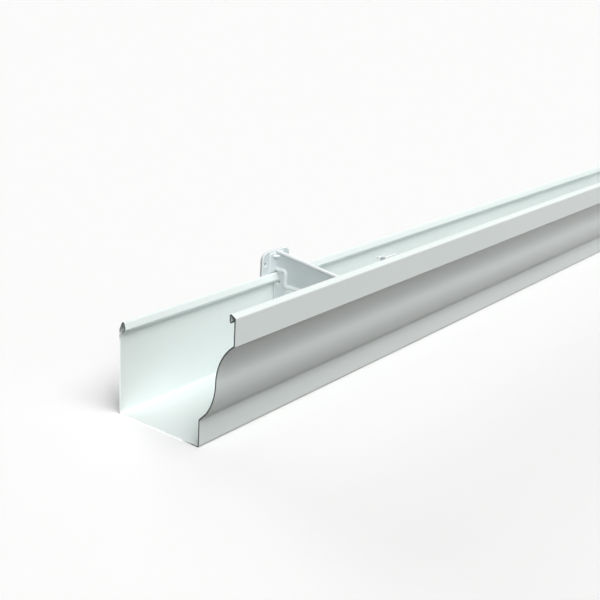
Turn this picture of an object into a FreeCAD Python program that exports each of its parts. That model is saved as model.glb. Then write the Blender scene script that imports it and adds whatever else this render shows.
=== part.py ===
import FreeCAD, Part
import math
import os
import Sketcher

# Ogee eaves gutter with one hanger clipped across it, in millimetres.
# X runs along the gutter, -Y is its shaped front, +Y its flat back, +Z is up.
# A section is drawn as (out, up): out is measured forward from the flat back
# of the gutter, up from the underside of its floor.

SIZES = {
    "gutter_length": 2000,
    "gutter_width": 125,
    "sheet_thickness": 1.2,
    "bend_radius": 0.8,
    "hem_radius": 0.3,
    "floor_width": 91.4,
    "toe_height": 24,
    "ledge_out": 7.1,
    "ledge_rise": 7.4,
    "belly_out": 9.2,
    "belly_rise": 29.1,
    "crown_rise": 35.4,
    "front_panel": 22.9,
    "hem_width": 6,
    "hem_rise": 3.4,
    "hem_leg": 10.2,
    "hem_return_out": 3.4,
    "hem_return_up": 3.2,
    "wall_height": 76.5,
    "rim_lean": 4.9,
    "rim_rise": 10.1,
    "rim_lip_out": 2.7,
    "rim_lip_drop": 9.4,
    "rim_return_back": 4.4,
    "rim_return_down": 4.1,
    "hanger_place": 201,
    "hanger_gap": 0.3,
    "flange_width": 41,
    "flange_thickness": 3,
    "flange_foot": 3,
    "flange_rise": 29.5,
    "flange_corner": 8,
    "nail_hole": 3.6,
    "nail_spacing": 32,
    "nail_rise": 17.6,
    "web_thickness": 2.2,
    "web_rise": 29.8,
    "boss_side": 9.5,
    "boss_step": 0.8,
    "boss_crown": 2.5,
    "notch_share": 1.3,
    "heel_gap": 2.4,
    "heel_width": 6.8,
    "tongue_gap": 1.1,
    "tongue_depth": 20,
    "arm_drop": 6.9,
    "arm_bend": 24,
    "arm_depth": 9,
    "elbow_drop": 13,
    "elbow_radius": 8,
    "post_width": 8.5,
    "hook_depth": 3.4,
    "hook_short_side": 10,
    "hook_long_side": 19,
    "lug_thickness": 1.4,
    "lug_place": 7,
    "lug_length": 23,
    "lug_width": 6.2,
    "lug_tail": 2,
    "stem_place": 12.5,
    "bead_diameter": 5,
    "bead_inset": 2.6,
    "bead_set_back": 6,
    "bead_corner": 2.8,
    "edge_bead": 3.6,
    "gusset_rise": 22.8,
    "gusset_thickness": 2.2,
    "gusset_reach": 7,
    "moulded_corner": 1.5,
}

os.makedirs("parts", exist_ok=True)
doc = FreeCAD.newDocument("gutter")
sheet = doc.addObject("Spreadsheet::Sheet", "sizes")
for row, (name, number) in enumerate(SIZES.items(), start=1):
    sheet.set("A%d" % row, name)
    sheet.set("B%d" % row, str(number))
    sheet.setAlias("B%d" % row, name)
doc.recompute()


class Length:
    """A number together with the expression in sheet cells that gives it."""

    def __init__(self, number, text):
        self.number = number
        self.text = text

    def joined(self, other, sign, number):
        return Length(number, "(%s %s %s)" % (self.text, sign, other.text))

    def __add__(self, other):
        other = length(other)
        return self.joined(other, "+", self.number + other.number)

    def __sub__(self, other):
        other = length(other)
        return self.joined(other, "-", self.number - other.number)

    def __mul__(self, other):
        other = length(other)
        return self.joined(other, "*", self.number * other.number)

    def __truediv__(self, other):
        other = length(other)
        return self.joined(other, "/", self.number / other.number)


def length(given):
    """A Length from a Length, a cell's name or a plain number."""
    if isinstance(given, Length):
        return given
    if isinstance(given, str):
        return Length(float(sheet.get(given)), "sizes." + given)
    return Length(float(given), "%g" % given)


def bind(thing, name, given):
    thing.setExpression(name, length(given).text)


def point(out, up):
    return FreeCAD.Vector(length(out).number, length(up).number, 0)


def fix_point(sketch, item, end, out, up):
    """Hold one point of a sketch at (out, up) from its origin."""
    for kind, place in (("DistanceX", length(out)), ("DistanceY", length(up))):
        rule = Sketcher.Constraint(kind, -1, 1, item, end, place.number)
        index = sketch.addConstraint(rule)
        bind(sketch, "Constraints[%d]" % index, place)


def fix_radius(sketch, item, radius):
    rule = Sketcher.Constraint("Radius", item, length(radius).number)
    bind(sketch, "Constraints[%d]" % sketch.addConstraint(rule), radius)


def arc_between(centre, radius, start, finish, left):
    """The short arc about centre from start to finish, and its end numbers."""
    first = math.atan2(start.y - centre.y, start.x - centre.x)
    last = math.atan2(finish.y - centre.y, finish.x - centre.x)
    if not left:
        first, last = last, first
    circle = Part.Circle(centre, FreeCAD.Vector(0, 0, 1), radius)
    ends = (1, 2) if left else (2, 1)
    return Part.ArcOfCircle(circle, first, last), ends


def add_line(sketch, corners, closed=False):
    """Draw straight runs through corners, each (out, up, radius or None).

    A corner with a radius is rounded by a tangent arc, and the sharp corner
    stays as a helper point that carries the two dimensions.
    """
    count = len(corners)
    spots = [point(out, up) for out, up, _ in corners]
    rounds = []
    for index, (_, _, radius) in enumerate(corners):
        inner = closed or 0 < index < count - 1
        rounds.append(length(radius) if radius is not None and inner else None)

    def trimmed(index, toward):
        """Where the run leaves a corner, towards its neighbour."""
        here = spots[index]
        if rounds[index] is None:
            return here
        back = (spots[index - 1] - here).normalize()
        on = (spots[(index + 1) % count] - here).normalize()
        half = back.getAngle(on) / 2
        step = (spots[toward] - here).normalize()
        return here + step * (rounds[index].number / math.tan(half))

    runs = range(count if closed else count - 1)
    lines = []
    for index in runs:
        after = (index + 1) % count
        piece = Part.LineSegment(trimmed(index, after), trimmed(after, index))
        lines.append(sketch.addGeometry(piece, False))
    for index, (out, up, _) in enumerate(corners):
        before = lines[index - 1] if closed or index > 0 else None
        after = lines[index] if index < len(lines) else None
        if rounds[index] is None:
            item, end = (after, 1) if after is not None else (before, 2)
            fix_point(sketch, item, end, out, up)
            if before is not None and after is not None:
                sketch.addConstraint(Sketcher.Constraint("Coincident", before, 2, after, 1))
            continue
        radius = rounds[index].number
        start = trimmed(index, index - 1)
        finish = trimmed(index, (index + 1) % count)
        back = (spots[index - 1] - spots[index]).normalize()
        on = (spots[(index + 1) % count] - spots[index]).normalize()
        reach = radius / math.sin(back.getAngle(on) / 2)
        centre = spots[index] + (back + on).normalize() * reach
        left = back.cross(on).z < 0
        arc, ends = arc_between(centre, radius, start, finish, left)
        item = sketch.addGeometry(arc, False)
        corner = sketch.addGeometry(Part.Point(spots[index]), True)
        sketch.addConstraint(Sketcher.Constraint("Tangent", before, 2, item, ends[0]))
        sketch.addConstraint(Sketcher.Constraint("Tangent", item, ends[1], after, 1))
        sketch.addConstraint(Sketcher.Constraint("PointOnObject", corner, 1, before))
        sketch.addConstraint(Sketcher.Constraint("PointOnObject", corner, 1, after))
        fix_point(sketch, corner, 1, out, up)
        fix_radius(sketch, item, rounds[index])
    return lines


def add_ogee(sketch, crease, neck, step):
    """Two arcs, hollow then round, that meet upright at the neck."""
    low, mid, top = (point(*spot) for spot in (crease, neck, step))
    belly = (mid - low).Length ** 2 / (2 * (mid.x - low.x))
    crown = (top - mid).Length ** 2 / (2 * (top.x - mid.x))
    items = []
    for radius, centre, start, finish, left in (
        (belly, FreeCAD.Vector(mid.x - belly, mid.y, 0), low, mid, True),
        (crown, FreeCAD.Vector(mid.x + crown, mid.y, 0), mid, top, False),
    ):
        arc, _ = arc_between(centre, radius, start, finish, left)
        items.append(sketch.addGeometry(arc, False))
    fix_point(sketch, items[0], 1, *crease)
    fix_point(sketch, items[0], 2, *neck)
    fix_point(sketch, items[1], 1, *step)
    sketch.addConstraint(Sketcher.Constraint("Coincident", items[0], 2, items[1], 2))
    for item in items:
        sketch.addConstraint(Sketcher.Constraint("Horizontal", item, 3, items[0], 2))
    return items


def checked(sketch):
    """A sketch that solves, with no freedom left."""
    status = sketch.solve()
    if status != 0:
        raise RuntimeError("%s does not solve: %s" % (sketch.Label, status))
    return sketch


class Section:
    """Corners of the folded section that more than one piece depends on."""

    ledge = (length("floor_width") + "ledge_out", length("toe_height") + "ledge_rise")
    neck = (ledge[0] + "belly_out", ledge[1] + "belly_rise")
    step = (length("gutter_width"), neck[1] + "crown_rise")
    shoulder = step[1] + "front_panel"
    hem_back = length("gutter_width") - "hem_width"
    hem_top = shoulder + "hem_rise"
    hem_foot = hem_top - "hem_leg"
    rim_top = length("wall_height") + "rim_rise"
    rim_lip = (length("rim_lean") + "rim_lip_out", rim_top - "rim_lip_drop")
    rim_end = (rim_lip[0] - "rim_return_back", rim_lip[1] - "rim_return_down")


def channel():
    """The gutter: one strip of sheet, folded to its section and cut square."""
    outer_bend = length("bend_radius") + "sheet_thickness"
    outer_hem = length("hem_radius") + "sheet_thickness"
    section = doc.addObject("Sketcher::SketchObject", "GutterSection")
    add_line(section, [
        (*Section.rim_end, None),
        (*Section.rim_lip, outer_hem),
        ("rim_lean", Section.rim_top, outer_hem),
        (0, "wall_height", "bend_radius"),
        (0, 0, outer_bend),
        ("floor_width", 0, outer_bend),
        ("floor_width", "toe_height", "bend_radius"),
        (*Section.ledge, None),
    ])
    add_ogee(section, Section.ledge, Section.neck, Section.step)
    add_line(section, [
        (*Section.step, None),
        ("gutter_width", Section.shoulder, outer_hem),
        (Section.hem_back, Section.hem_top, outer_hem),
        (Section.hem_back, Section.hem_foot, outer_hem),
        (Section.hem_back + "hem_return_out", Section.hem_foot + "hem_return_up", None),
    ])
    checked(section)
    # the section faces down the gutter, with its first axis forward
    section.Placement.Rotation = FreeCAD.Rotation(
        FreeCAD.Vector(0, -1, 0), FreeCAD.Vector(0, 0, 1), FreeCAD.Vector(-1, 0, 0))
    bind(section, ".Placement.Base.x", length("gutter_length") / 2)
    bind(section, ".Placement.Base.y", length("gutter_width") / 2)
    doc.recompute()
    skin = doc.addObject("Part::Offset2D", "GutterSheet")
    skin.Source = section
    skin.Mode = "Skin"
    skin.Join = "Intersection"
    skin.Fill = True
    bind(skin, "Value", "sheet_thickness")
    doc.recompute()
    strip = doc.addObject("Part::Extrusion", "GutterStrip")
    strip.Base = skin
    strip.DirMode = "Custom"
    strip.Dir = FreeCAD.Vector(-1, 0, 0)
    strip.Solid = True
    bind(strip, "LengthFwd", "gutter_length")
    strip.Label = "gutter_channel"
    return strip


def plane(body, role):
    return next(item for item in body.Origin.OriginFeatures if item.Role == role)


def new_sketch(body, name, role):
    sketch = body.newObject("Sketcher::SketchObject", name)
    sketch.AttachmentSupport = (plane(body, role), "")
    sketch.MapMode = "FlatFace"
    return sketch


def outline(body, name, role, corners):
    sketch = new_sketch(body, name, role)
    add_line(sketch, corners, closed=True)
    return checked(sketch)


def new_pad(body, name, sketch, thickness, both=False, reverse=False):
    pad = body.newObject("PartDesign::Pad", name)
    pad.Profile = sketch
    pad.SideType = "Symmetric" if both else "One side"
    pad.Reversed = reverse
    bind(pad, "Length", thickness)
    return pad


def new_cut(body, name, sketch, depth):
    """Cut the same depth both ways from the sketch, and see that it bites."""
    doc.recompute()
    before = body.Shape.Volume
    cut = body.newObject("PartDesign::Pocket", name)
    cut.Profile = sketch
    cut.SideType = "Symmetric"
    bind(cut, "Length", depth)
    doc.recompute()
    if cut.Shape.Volume >= before:
        raise RuntimeError(name + " cuts nothing")
    return cut


def add_bead(body, name, diameter, route):
    """A round bead along a route on the web's middle plane."""
    path = new_sketch(body, name + "Path", "YZ_Plane")
    add_line(path, route)
    checked(path)
    ring = new_sketch(body, name + "Ring", "XZ_Plane")
    start = route[0][1]
    circle = Part.Circle(point(0, start), FreeCAD.Vector(0, 0, 1), 1)
    item = ring.addGeometry(circle, False)
    fix_point(ring, item, 3, 0, start)
    fix_radius(ring, item, length(diameter) / 2)
    checked(ring)
    doc.recompute()
    bead = body.newObject("PartDesign::AdditivePipe", name)
    bead.Profile = ring
    bead.Spine = path
    return bead


def add_shelf(body, name, foot, thickness, corners):
    """A level plate between the web and the flange or the hem."""
    sketch = outline(body, name + "Outline", "XY_Plane", corners)
    bind(sketch, ".AttachmentOffset.Base.z", foot)
    return new_pad(body, name, sketch, thickness)


def hanger():
    """The hanger: one moulded piece, a nailing flange and a ribbed web.

    In its own frame the back of the flange is at Y = 0 and +Y is forward.
    """
    body = doc.addObject("PartDesign::Body", "Hanger")
    body.Label = "hanger_bracket"
    gap = length("hanger_gap")
    wall = length("sheet_thickness") + gap
    rim_foot = length("wall_height")
    half = length("flange_width") / 2
    flange_top = rim_foot + "flange_rise"
    flange_foot = rim_foot + "flange_foot"
    web_top = rim_foot + "web_rise"
    # the rim's rounded crest stands lower than its corner by more than this
    notch = Section.rim_top - (length("hem_radius") + "sheet_thickness") * "notch_share"
    heel = Section.rim_lip[0] + "heel_gap"
    heel_front = heel + "heel_width"
    arm_foot = rim_foot - "arm_drop"
    arm_bend = heel_front + "arm_bend"
    tongue_top = Section.rim_end[1] - gap
    tongue_foot = tongue_top - "tongue_depth"
    tongue_back = wall + "tongue_gap"
    elbow = (Section.neck[0] - wall, Section.step[1] - "elbow_drop")
    post_front = Section.hem_back - gap
    post_back = post_front - "post_width"
    post_middle = post_front - length("post_width") / 2
    post_foot = Section.step[1] - wall
    hook_tip = length("gutter_width") - wall
    hook_top = Section.hem_foot + "sheet_thickness"
    hook_foot = hook_top - "hook_depth"
    lug_foot = Section.hem_top - "lug_thickness"
    lug_back = post_front - "lug_width"

    flange = outline(body, "FlangeOutline", "XZ_Plane", [
        (length(0) - half, flange_foot, "moulded_corner"),
        (half, flange_foot, "moulded_corner"),
        (half, flange_top, "flange_corner"),
        (length(0) - half, flange_top, "flange_corner"),
    ])
    new_pad(body, "Flange", flange, "flange_thickness", reverse=True)

    # the foot of the flange is bevelled to clear the leaning rim
    lift = gap * 2.5
    bevel = outline(body, "BevelOutline", "YZ_Plane", [
        (0, rim_foot + lift, None),
        (0, rim_foot - gap, None),
        ("rim_lean", rim_foot - gap, None),
        ("rim_lean", Section.rim_top + lift, None),
    ])
    new_cut(body, "Bevel", bevel, length("flange_width") * 2)

    nails = new_sketch(body, "NailHoles", "XZ_Plane")
    for side in (-0.5, 0.5):
        spot = (length("nail_spacing") * side, rim_foot + "nail_rise")
        circle = Part.Circle(point(*spot), FreeCAD.Vector(0, 0, 1), 1)
        item = nails.addGeometry(circle, False)
        fix_point(nails, item, 3, *spot)
        fix_radius(nails, item, length("nail_hole") / 2)
    checked(nails)
    new_cut(body, "Nails", nails, length("flange_thickness") * 3)

    web = outline(body, "WebOutline", "YZ_Plane", [
        (0, notch, None),
        (heel, notch, "bend_radius"),
        (heel, tongue_top, "bend_radius"),
        (tongue_back, tongue_top, None),
        (tongue_back, tongue_foot, "bead_corner"),
        (heel_front, tongue_foot, "bead_corner"),
        (heel_front, arm_foot, "bead_corner"),
        (arm_bend, arm_foot, "elbow_radius"),
        (elbow[0], elbow[1], "elbow_radius"),
        (post_front, post_foot, "moulded_corner"),
        (post_front, hook_foot, None),
        (hook_tip, hook_foot, "moulded_corner"),
        (hook_tip, hook_top, None),
        (post_back, hook_top, "moulded_corner"),
        (post_back, elbow[1] + "arm_depth", "elbow_radius"),
        (0, web_top, None),
    ])
    new_pad(body, "Web", web, "web_thickness", both=True)

    bead_out = heel + "bead_set_back"
    high_bead = notch + "bead_inset"
    low_bead = arm_foot + "bead_inset"
    add_bead(body, "Bead", "bead_diameter", [
        (0, high_bead, None),
        (bead_out, high_bead, "bead_corner"),
        (bead_out, low_bead, "bead_corner"),
        (arm_bend, low_bead, "elbow_radius"),
        (elbow[0], elbow[1] + "bead_inset", "elbow_radius"),
        (post_middle, post_foot + "bead_inset", "bead_corner"),
        (post_middle, hook_top, None),
    ])
    sunk = length("edge_bead") / 3
    add_bead(body, "EdgeBead", "edge_bead", [
        (0, web_top - sunk, None),
        (post_middle, elbow[1] + "arm_depth" - sunk, None),
    ])

    boss = length("web_thickness") / 2 + "boss_side"
    boss_front = length("flange_thickness") + "boss_step"
    add_shelf(body, "Boss", notch, web_top - "boss_crown" - notch, [
        (length(0) - boss, 0, None),
        (boss, 0, None),
        (boss, boss_front, "boss_step"),
        (length(0) - boss, boss_front, "boss_step"),
    ])
    reach = length("gusset_reach")
    add_shelf(body, "Gusset", rim_foot + "gusset_rise", "gusset_thickness", [
        (length(0) - reach, 0, None),
        (reach, 0, None),
        (reach, "flange_thickness", None),
        (0, length("flange_thickness") + reach, None),
        (length(0) - reach, "flange_thickness", None),
    ])
    # the clip under the hem carries a finger lug on a stem, off the web's line
    add_shelf(body, "Hook", hook_foot, "hook_depth", [
        (length(0) - "hook_long_side", post_back, "moulded_corner"),
        ("hook_short_side", post_back, "moulded_corner"),
        ("hook_short_side", hook_tip, "moulded_corner"),
        (length(0) - "hook_long_side", hook_tip, "moulded_corner"),
    ])
    stem_near = length(0) - "stem_place"
    stem_far = stem_near - "web_thickness"
    add_shelf(body, "Stem", hook_foot, Section.hem_top - hook_foot, [
        (stem_far, lug_back, None),
        (stem_near, lug_back, None),
        (stem_near, post_front, None),
        (stem_far, post_front, None),
    ])
    lug_near = length(0) - "lug_place"
    add_shelf(body, "Lug", lug_foot, "lug_thickness", [
        (lug_near - "lug_length", lug_back, "moulded_corner"),
        (lug_near, lug_back, None),
        (lug_near, lug_back + "lug_tail", None),
        (stem_near, lug_back + "lug_tail", None),
        (stem_near, post_front, None),
        (lug_near - "lug_length", post_front, "moulded_corner"),
    ])
    body.Placement.Rotation = FreeCAD.Rotation(FreeCAD.Vector(0, 0, 1), 180)
    bind(body, ".Placement.Base.x", length("hanger_place") - length("gutter_length") / 2)
    bind(body, ".Placement.Base.y", length("gutter_width") / 2)
    return body


nodes = [channel(), hanger()]
doc.recompute()
for thing in doc.Objects:
    if "Invalid" in thing.State or "Error" in thing.State:
        raise RuntimeError("%s failed: %s" % (thing.Label, thing.State))
for node in nodes:
    shape = node.Shape
    if shape.isNull() or not shape.isValid() or len(shape.Solids) != 1:
        raise RuntimeError(node.Label + " is not one valid solid")
    print("%s: %.0f mm3, %s" % (node.Label, shape.Volume, shape.BoundBox))
for node in nodes:
    node.Shape.exportStep("parts/%s.step" % node.Label)
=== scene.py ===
import math

import bmesh
import bpy
import numpy as np
from mathutils import Matrix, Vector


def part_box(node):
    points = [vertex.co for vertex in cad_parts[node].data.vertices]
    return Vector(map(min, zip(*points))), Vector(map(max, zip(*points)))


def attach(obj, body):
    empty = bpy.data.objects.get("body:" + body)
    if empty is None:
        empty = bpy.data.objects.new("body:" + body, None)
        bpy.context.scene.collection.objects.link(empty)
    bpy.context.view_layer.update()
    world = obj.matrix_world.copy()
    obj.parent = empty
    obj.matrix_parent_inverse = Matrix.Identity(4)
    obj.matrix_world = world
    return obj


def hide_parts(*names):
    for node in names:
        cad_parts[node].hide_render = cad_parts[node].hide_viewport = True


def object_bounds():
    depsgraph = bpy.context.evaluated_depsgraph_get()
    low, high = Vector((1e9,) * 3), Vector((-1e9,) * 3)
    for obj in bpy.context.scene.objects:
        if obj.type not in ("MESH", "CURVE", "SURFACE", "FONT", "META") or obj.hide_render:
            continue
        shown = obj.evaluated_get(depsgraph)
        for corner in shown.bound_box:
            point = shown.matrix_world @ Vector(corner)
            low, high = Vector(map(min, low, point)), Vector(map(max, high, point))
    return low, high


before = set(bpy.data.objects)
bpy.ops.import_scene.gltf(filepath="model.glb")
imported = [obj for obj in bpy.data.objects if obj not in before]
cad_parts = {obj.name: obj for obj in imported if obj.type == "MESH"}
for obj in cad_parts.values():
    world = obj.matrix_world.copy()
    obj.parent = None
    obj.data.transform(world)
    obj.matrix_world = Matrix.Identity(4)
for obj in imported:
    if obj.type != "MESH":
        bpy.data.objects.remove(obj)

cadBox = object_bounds()
print("frame loaded:", ", ".join(sorted(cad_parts)))

# Metres throughout. X runs along the gutter, -Y is its shaped front, +Z is up.


class Wire:
    # One output of a shader node. Making a Wire adds the node: its settings are set first, then
    # its inputs, each a value or another Wire. Arithmetic on Wires adds Math nodes.
    def __init__(self, tree, kind, settings=None, inputs=None, output=0):
        node = tree.nodes.new(kind)
        for name, value in (settings or {}).items():
            setattr(node, name, value)
        for name, value in (inputs or {}).items():
            if isinstance(value, Wire):
                tree.links.new(value.socket, node.inputs[name])
            else:
                node.inputs[name].default_value = value
        self.tree, self.socket = tree, node.outputs[output]

    def math(self, operation, first, second):
        return Wire(self.tree, "ShaderNodeMath", {"operation": operation}, {0: first, 1: second})

    def __add__(self, other):
        return self.math("ADD", self, other)

    def __sub__(self, other):
        return self.math("SUBTRACT", self, other)

    def __rsub__(self, other):
        return self.math("SUBTRACT", other, self)

    def __mul__(self, other):
        return self.math("MULTIPLY", self, other)

    __radd__ = __add__
    __rmul__ = __mul__


def stretchedNoise(place, lumps, detail=2.0):
    # noise from 0 to 1 with so many lumps a metre along X, Y and Z
    spread = Wire(place.tree, "ShaderNodeMapping", {"vector_type": "POINT"},
                  {"Vector": place, "Scale": lumps})
    return Wire(place.tree, "ShaderNodeTexNoise", {"noise_dimensions": "3D"},
                {"Vector": spread, "Scale": 1.0, "Detail": detail})


def ramp(value, span, levels=(0.0, 1.0)):
    # a smooth rise from the first level to the second as the value crosses the span
    return Wire(value.tree, "ShaderNodeMapRange", {"interpolation_type": "SMOOTHSTEP"},
                {"Value": value, "From Min": span[0], "From Max": span[1],
                 "To Min": levels[0], "To Max": levels[1]})


def mixColour(share, first, second):
    # the Mix node's colour sockets are its inputs 6 and 7 and its output 2
    def full(colour):
        return colour if isinstance(colour, Wire) else (*colour, 1.0)
    return Wire(share.tree, "ShaderNodeMix", {"data_type": "RGBA"},
                {0: share, 6: full(first), 7: full(second)}, output=2)


def bump(height, distance, strength):
    return Wire(height.tree, "ShaderNodeBump", inputs={
        "Height": height, "Distance": distance, "Strength": strength})


def newMaterial(name, uniform, makeVaried):
    # uniform values sit on the shader's own sockets; makeVaried gives those that vary in place
    material = bpy.data.materials.new(name)
    material.use_nodes = True
    tree = material.node_tree
    shader = tree.nodes["Principled BSDF"]
    for socket, value in uniform.items():
        shader.inputs[socket].default_value = value
    place = Wire(tree, "ShaderNodeTexCoord", output="Object")
    for socket, wire in makeVaried(place).items():
        tree.links.new(wire.socket, shader.inputs[socket])
    return material


def addPiece(name, mesh, body, replaced):
    piece = bpy.data.objects.new(name, mesh)
    bpy.context.scene.collection.objects.link(piece)
    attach(piece, body)
    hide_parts(replaced)
    return piece


gutter = {
    # the section: a pair is (out, up) from the corner before it
    "thickness": 0.0012,
    "bendRadius": 0.0008,
    "hemRadius": 0.0003,
    "floorWidth": 0.0914,
    "toeHeight": 0.024,
    "ledge": (0.0071, 0.0074),
    "belly": (0.0092, 0.0291),
    "crownRise": 0.0354,
    "frontPanel": 0.0229,
    "hem": (0.0060, 0.0034),
    "hemLeg": 0.0102,
    "hemReturn": (0.0034, 0.0032),
    "wallHeight": 0.0765,
    "rim": (0.0049, 0.0101),
    "rimLip": (0.0027, 0.0094),
    "rimReturn": (0.0044, 0.0041),
    # the mesh
    "bendPieces": 9,
    "curvePieces": 26,
    "runShares": (0.02, 0.25, 0.5, 0.75, 0.98),
    "stationLength": 0.02,
    "sharpAngle": 35,
    # the coat: lumps a metre along X, Y and Z, and the noise values that each change spans
    "coatColour": (0.85, 0.905, 0.89),
    "coatShade": (0.825, 0.885, 0.87),
    "driftLumps": (2.5, 9, 9),
    "driftSpan": (0.35, 0.65),
    "coatRoughness": (0.28, 0.33),
    "rolledLumps": (1.5, 420, 420),
    "rolledSpan": (0.25, 0.75),
    "peelLumps": (420, 420, 420),
    "peelHeight": 0.00005,
    "peelStrength": 0.5,
    "coatIor": 1.43,
    # the cut edges: they brighten over edgeDepth, a span of Y, and turn back to painted shade
    # over edgeHeight, a span of Z, and patches shift both spans by up to half of patchShift
    # the dark colour of the painted shade on the cut edges, then the bare metal's colour
    "edgePaintedShade": (0.09, 0.105, 0.104),
    "edgeBright": (0.86, 0.90, 0.90),
    "edgeDepth": (-0.029, -0.008),
    "edgeHeight": (0.065, 0.082),
    "patchLumps": (300, 300, 300),
    "patchShift": 0.02,
    "edgeRoughness": (0.4, 0.6),
    "toothLumps": (900, 900, 900),
    "toothSpan": (0.3, 0.7),
    "toothHeight": 0.0001,
    "toothStrength": 0.6,
}


def roundedRun(corners, radii):
    # Straight runs through corners, with an arc tangent to both runs at each inner corner: the
    # arc starts radius * tan(turn / 2) before the corner, and its spoke turns evenly about a
    # centre beside the run.
    corners = np.array(corners)
    radii = np.array(radii)[:, None]
    along = np.diff(corners, axis=0)
    along /= np.linalg.norm(along, axis=1, keepdims=True)
    before, after = along[:-1], along[1:]
    turn = np.arctan2(before[:, 0] * after[:, 1] - before[:, 1] * after[:, 0],
                      (before * after).sum(axis=1))[:, None]
    reach = radii * np.tan(np.abs(turn) / 2)
    start = corners[1:-1] - before * reach
    finish = corners[1:-1] + after * reach
    spoke = radii * np.sign(turn) * np.stack([before[:, 1], -before[:, 0]], axis=1)
    centre = start - spoke
    angle = turn * np.linspace(0, 1, gutter["bendPieces"])
    across = np.stack([-spoke[:, 1], spoke[:, 0]], axis=1)
    arcs = (centre[:, None] + np.cos(angle)[..., None] * spoke[:, None]
            + np.sin(angle)[..., None] * across[:, None])
    leave = np.concatenate([corners[:1], finish])
    arrive = np.concatenate([start, corners[-1:]])
    share = np.array(gutter["runShares"])[None, :, None]
    runs = leave[:, None] * (1 - share) + arrive[:, None] * share
    middle = np.concatenate([runs[:-1], arcs], axis=1).reshape(-1, 2)
    return np.concatenate([corners[:1], middle, runs[-1], corners[-1:]])


def uprightArc(level, other):
    # The arc through both points that stands upright at the first: its centre is level with that
    # point, at a distance of (gap squared) / (2 * the gap's width).
    gap = other - level
    radius = (gap @ gap) / (2 * gap[0])
    centre = level + np.array([radius, 0])
    last = math.atan2(gap[1], abs(radius - gap[0]))
    angle = np.linspace(0, last, gutter["curvePieces"])
    return centre + np.stack([-radius * np.cos(angle), abs(radius) * np.sin(angle)], axis=1)


def sectionPath(width):
    # the sheet's outer face as one open path of (out, up): out is forward from the flat back
    g = gutter
    hemRadius = g["hemRadius"] + g["thickness"]
    bendRadius = g["bendRadius"] + g["thickness"]
    rimTop = np.array([g["rim"][0], g["wallHeight"] + g["rim"][1]])
    rimLip = rimTop + (g["rimLip"][0], -g["rimLip"][1])
    rimEnd = rimLip - g["rimReturn"]
    toe = np.array([g["floorWidth"], g["toeHeight"]])
    ledge = toe + g["ledge"]
    neck = ledge + g["belly"]
    step = np.array([width, neck[1] + g["crownRise"]])
    shoulder = step + (0, g["frontPanel"])
    hemTop = shoulder + (-g["hem"][0], g["hem"][1])
    hemFoot = hemTop - (0, g["hemLeg"])
    hemEnd = hemFoot + g["hemReturn"]
    back = roundedRun(
        [rimEnd, rimLip, rimTop, (0, g["wallHeight"]), (0, 0), (g["floorWidth"], 0), toe, ledge],
        [hemRadius, hemRadius, g["bendRadius"], bendRadius, bendRadius, g["bendRadius"]])
    belly = uprightArc(neck, ledge)[::-1]
    crown = uprightArc(neck, step)
    front = roundedRun([step, shoulder, hemTop, hemFoot, hemEnd], [hemRadius] * 3)
    return np.concatenate([back, belly[1:], crown[1:], front[1:]])


def strip(path, thickness, stations, width):
    # The path and a second one a sheet's thickness inside it make a closed ring of points, which
    # is carried along X. The ends are ribbons between the two. The ends and the sheet's two long
    # edges are bare metal.
    slope = np.gradient(path, axis=0)
    slope /= np.linalg.norm(slope, axis=1, keepdims=True)
    inside = path + thickness * np.stack([-slope[:, 1], slope[:, 0]], axis=1)
    ring = np.concatenate([path, inside[::-1]])
    count, half, rows = len(ring), len(path), len(stations)
    points = np.empty((rows, count, 3))
    points[..., 0] = stations[:, None]
    points[..., 1] = width / 2 - ring[:, 0]
    points[..., 2] = ring[:, 1]
    row, column = np.meshgrid(np.arange(rows - 1) * count, np.arange(count), indexing="ij")
    onward = (column + 1) % count
    sides = np.stack([row + column, row + count + column, row + count + onward, row + onward],
                     axis=-1)
    first = np.arange(half - 1)
    ribbon = np.stack([first, first + 1, count - 2 - first, count - 1 - first], axis=-1)
    quads = np.concatenate([sides.reshape(-1, 4), ribbon, ribbon[:, ::-1] + (rows - 1) * count])
    longEdge = np.isin(column, (half - 1, count - 1)).ravel()
    bare = np.concatenate([longEdge, np.ones(2 * len(ribbon), bool)])
    return points, quads, bare


def quadMesh(name, points, quads, materialIndex):
    # four-sided faces, shaded smooth, each with the number of its material
    mesh = bpy.data.meshes.new(name)
    mesh.vertices.add(len(points))
    mesh.vertices.foreach_set("co", points.ravel())
    mesh.loops.add(quads.size)
    mesh.loops.foreach_set("vertex_index", quads.ravel())
    mesh.polygons.add(len(quads))
    mesh.polygons.foreach_set("loop_start", np.arange(0, quads.size, 4))
    mesh.polygons.foreach_set("material_index", materialIndex)
    mesh.polygons.foreach_set("use_smooth", np.ones(len(quads), bool))
    mesh.update(calc_edges=True)
    mesh.validate()
    return mesh


def coatedSheet():
    # gloss baked coat: a fine orange peel, and drawn lines along the strip from its rolls
    g = gutter

    def varied(place):
        drift = stretchedNoise(place, g["driftLumps"])
        rolled = stretchedNoise(place, g["rolledLumps"], detail=3)
        peel = stretchedNoise(place, g["peelLumps"])
        return {
            "Base Color": mixColour(ramp(drift, g["driftSpan"]), g["coatColour"], g["coatShade"]),
            "Roughness": ramp(rolled, g["rolledSpan"], g["coatRoughness"]),
            "Normal": bump(peel, g["peelHeight"], g["peelStrength"]),
        }
    return newMaterial("coatedSheet", {"IOR": g["coatIor"]}, varied)


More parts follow.
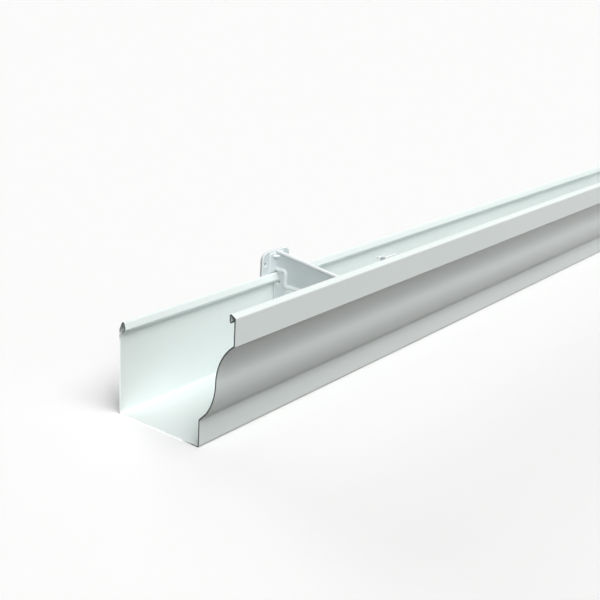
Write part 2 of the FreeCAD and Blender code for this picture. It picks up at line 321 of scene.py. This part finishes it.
def cutEdge():
    # sawn sheet: bright bare metal at the back and below, with painted shade, dark, towards the
    # front and the rim
    g = gutter

    def varied(place):
        depth, height = (Wire(place.tree, "ShaderNodeSeparateXYZ", inputs={"Vector": place},
                              output=axis) for axis in "YZ")
        patches = (stretchedNoise(place, g["patchLumps"]) - 0.5) * g["patchShift"]
        # bright is 1 on the bare metal and 0 on the painted shade towards the front and the rim
        bright = (ramp(depth + patches, g["edgeDepth"])
                  * (1 - ramp(height + patches, g["edgeHeight"])))
        teeth = stretchedNoise(place, g["toothLumps"], detail=3)
        return {
            "Base Color": mixColour(bright, g["edgePaintedShade"], g["edgeBright"]),
            "Metallic": bright,
            "Roughness": ramp(teeth, g["toothSpan"], g["edgeRoughness"]),
            "Normal": bump(teeth, g["toothHeight"], g["toothStrength"]),
        }
    return newMaterial("cutEdge", {}, varied)


def makeGutter():
    low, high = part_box("gutter_channel")
    width, length = high.y - low.y, high.x - low.x
    path = sectionPath(width)
    stations = np.linspace(low.x, high.x, round(length / gutter["stationLength"]) + 1)
    points, quads, bare = strip(path, gutter["thickness"], stations, width)
    mesh = quadMesh("gutter", points.reshape(-1, 3), quads, bare.astype(np.int32))
    mesh.materials.append(coatedSheet())
    mesh.materials.append(cutEdge())
    mesh.set_sharp_from_angle(angle=math.radians(gutter["sharpAngle"]))
    print("gutter:", len(quads), "faces, section of", len(path), "points")
    return addPiece("gutter", mesh, "root", "gutter_channel")


hanger = {
    # the mesh
    "mergeDistance": 1e-6,
    "voxel": 0.0004,
    "smoothFactor": 0.5,
    "smoothRounds": 5,
    # the plastic: lumps a metre, and the noise or sharpness values that each change spans
    "colour": (0.71, 0.768, 0.782),
    "shade": (0.665, 0.725, 0.74),
    "flowLumps": (60, 25, 60),
    "flowSpan": (0.35, 0.65),
    # a painted highlight: the paler colour of sharp edges and beads, and the pointiness it spans
    "paintedHighlight": (0.93, 0.96, 0.96),
    "paintedHighlightSpan": (0.502, 0.514),
    "roughness": (0.34, 0.44),
    "grainLumps": (1400, 1400, 1400),
    "grainSpan": (0.3, 0.7),
    "grainHeight": 0.00005,
    "grainStrength": 0.4,
    "ior": 1.49,
}


def mouldedPlastic():
    # satin moulded plastic: a fine spark-eroded grain, slight flow marks, and a painted highlight
    # that makes sharp edges and beads paler
    h = hanger

    def varied(place):
        flow = stretchedNoise(place, h["flowLumps"])
        grain = stretchedNoise(place, h["grainLumps"], detail=1)
        sharpness = Wire(place.tree, "ShaderNodeNewGeometry", output="Pointiness")
        moulded = mixColour(ramp(flow, h["flowSpan"]), h["colour"], h["shade"])
        return {
            # sharp edges and beads are made paler, a painted highlight
            "Base Color": mixColour(ramp(sharpness, h["paintedHighlightSpan"]), moulded, h["paintedHighlight"]),
            "Roughness": ramp(grain, h["grainSpan"], h["roughness"]),
            "Normal": bump(grain, h["grainHeight"], h["grainStrength"]),
        }
    return newMaterial("mouldedPlastic", {"IOR": h["ior"]}, varied)


def makeHanger():
    # the CAD solid's own surface, with its doubles merged, remeshed finely and eased at its edges
    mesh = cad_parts["hanger_bracket"].data.copy()
    work = bmesh.new()
    work.from_mesh(mesh)
    bmesh.ops.remove_doubles(work, verts=work.verts, dist=hanger["mergeDistance"])
    work.to_mesh(mesh)
    work.free()
    mesh.materials.clear()
    piece = addPiece("hanger", mesh, "root", "hanger_bracket")
    remesh = piece.modifiers.new("remesh", "REMESH")
    remesh.mode = "VOXEL"
    remesh.voxel_size = hanger["voxel"]
    remesh.use_smooth_shade = True
    ease = piece.modifiers.new("ease", "SMOOTH")
    ease.factor = hanger["smoothFactor"]
    ease.iterations = hanger["smoothRounds"]
    shaped = piece.evaluated_get(bpy.context.evaluated_depsgraph_get())
    piece.data = bpy.data.meshes.new_from_object(shaped)
    piece.modifiers.clear()
    piece.data.name = "hanger"
    piece.data.materials.clear()
    piece.data.materials.append(mouldedPlastic())
    print("hanger:", len(piece.data.polygons), "faces")
    return piece


studio = {
    "floorReach": 40.0,
    "floorBounce": (0.05, 0.043, 0.034),
    "floorSeen": (0.95, 0.95, 0.945),
    "lamps": {
        # azimuth and elevation it shines from, softness in degrees, light on a face square to it
        "overhead": (0, 90, 60, 0.12),
        "frontAbove": (0, 60, 40, 0.55),
        "frontLow": (0, 15, 40, 0.11),
        "nearFront": (-45, 40, 40, 0.45),
        "behind": (160, 12, 40, 0.48),
    },
}


def seenDirectly(tree):
    # 1 for what the camera sees, straight or in a gloss or through glass
    camera, gloss, glass = (Wire(tree, "ShaderNodeLightPath", output=name)
                            for name in ("Is Camera Ray", "Is Glossy Ray", "Is Transmission Ray"))
    total = camera + gloss + glass
    return total.math("MINIMUM", total, 1.0)


def makeFloor():
    # a pale floor that takes the object's shadow; it is seen brighter than it bounces
    corners = np.array([(-1, -1, 0), (1, -1, 0), (1, 1, 0), (-1, 1, 0)]) * studio["floorReach"]
    mesh = quadMesh("floor", corners, np.array([[0, 1, 2, 3]]), np.zeros(1, np.int32))
    material = bpy.data.materials.new("floor")
    material.use_nodes = True
    tree = material.node_tree
    tree.nodes.clear()
    colour = mixColour(seenDirectly(tree), studio["floorBounce"], studio["floorSeen"])
    surface = Wire(tree, "ShaderNodeBsdfDiffuse", inputs={"Color": colour})
    output = tree.nodes.new("ShaderNodeOutputMaterial")
    tree.links.new(surface.socket, output.inputs["Surface"])
    mesh.materials.append(material)
    floor = bpy.data.objects.new("floor", mesh)
    bpy.context.scene.collection.objects.link(floor)


def turned(azimuth, elevation, roll=0.0):
    # looks from azimuth, 0 along +Y and 90 along -X, and down from elevation, in degrees
    return (Matrix.Rotation(math.radians(azimuth), 4, "Z")
            @ Matrix.Rotation(math.radians(90 - elevation), 4, "X")
            @ Matrix.Rotation(math.radians(roll), 4, "Z"))


def makeLight():
    # the world only shows white to the camera and in reflections; the lamps give all the light
    world = bpy.data.worlds.new("studio")
    bpy.context.scene.world = world
    world.use_nodes = True
    tree = world.node_tree
    tree.nodes.clear()
    backdrop = Wire(tree, "ShaderNodeBackground", inputs={
        "Color": mixColour(seenDirectly(tree), (0.0, 0.0, 0.0), (1.0, 1.0, 1.0))})
    output = tree.nodes.new("ShaderNodeOutputWorld")
    tree.links.new(backdrop.socket, output.inputs["Surface"])
    for name, (azimuth, elevation, softness, light) in studio["lamps"].items():
        data = bpy.data.lights.new(name, "SUN")
        data.angle = math.radians(softness)
        data.energy = math.pi * light
        lamp = bpy.data.objects.new(name, data)
        lamp.matrix_world = turned(azimuth, elevation)
        bpy.context.scene.collection.objects.link(lamp)
    print("studio: floor and", len(studio["lamps"]), "lamps")


view = {
    "fromNearEnd": (-0.5572, -0.5337, 0.3863),
    "azimuth": -53.46,
    "elevation": 18.93,
    "roll": 3.33,
    "lens": 62.556,
    "sensor": 36.0,
}


def makeCamera():
    data = bpy.data.cameras.new("camera")
    data.lens = view["lens"]
    data.sensor_width = view["sensor"]
    camera = bpy.data.objects.new("camera", data)
    nearEnd = np.array([cadBox[0].x, 0, 0])
    turn = turned(view["azimuth"], view["elevation"], view["roll"])
    camera.matrix_world = Matrix.Translation(nearEnd + view["fromNearEnd"]) @ turn
    bpy.context.scene.collection.objects.link(camera)
    bpy.context.scene.camera = camera
    bpy.context.scene.view_settings.view_transform = "Standard"
    print("camera:", view["lens"], "mm lens")


makeCamera()
makeGutter()
makeHanger()
makeFloor()
makeLight()
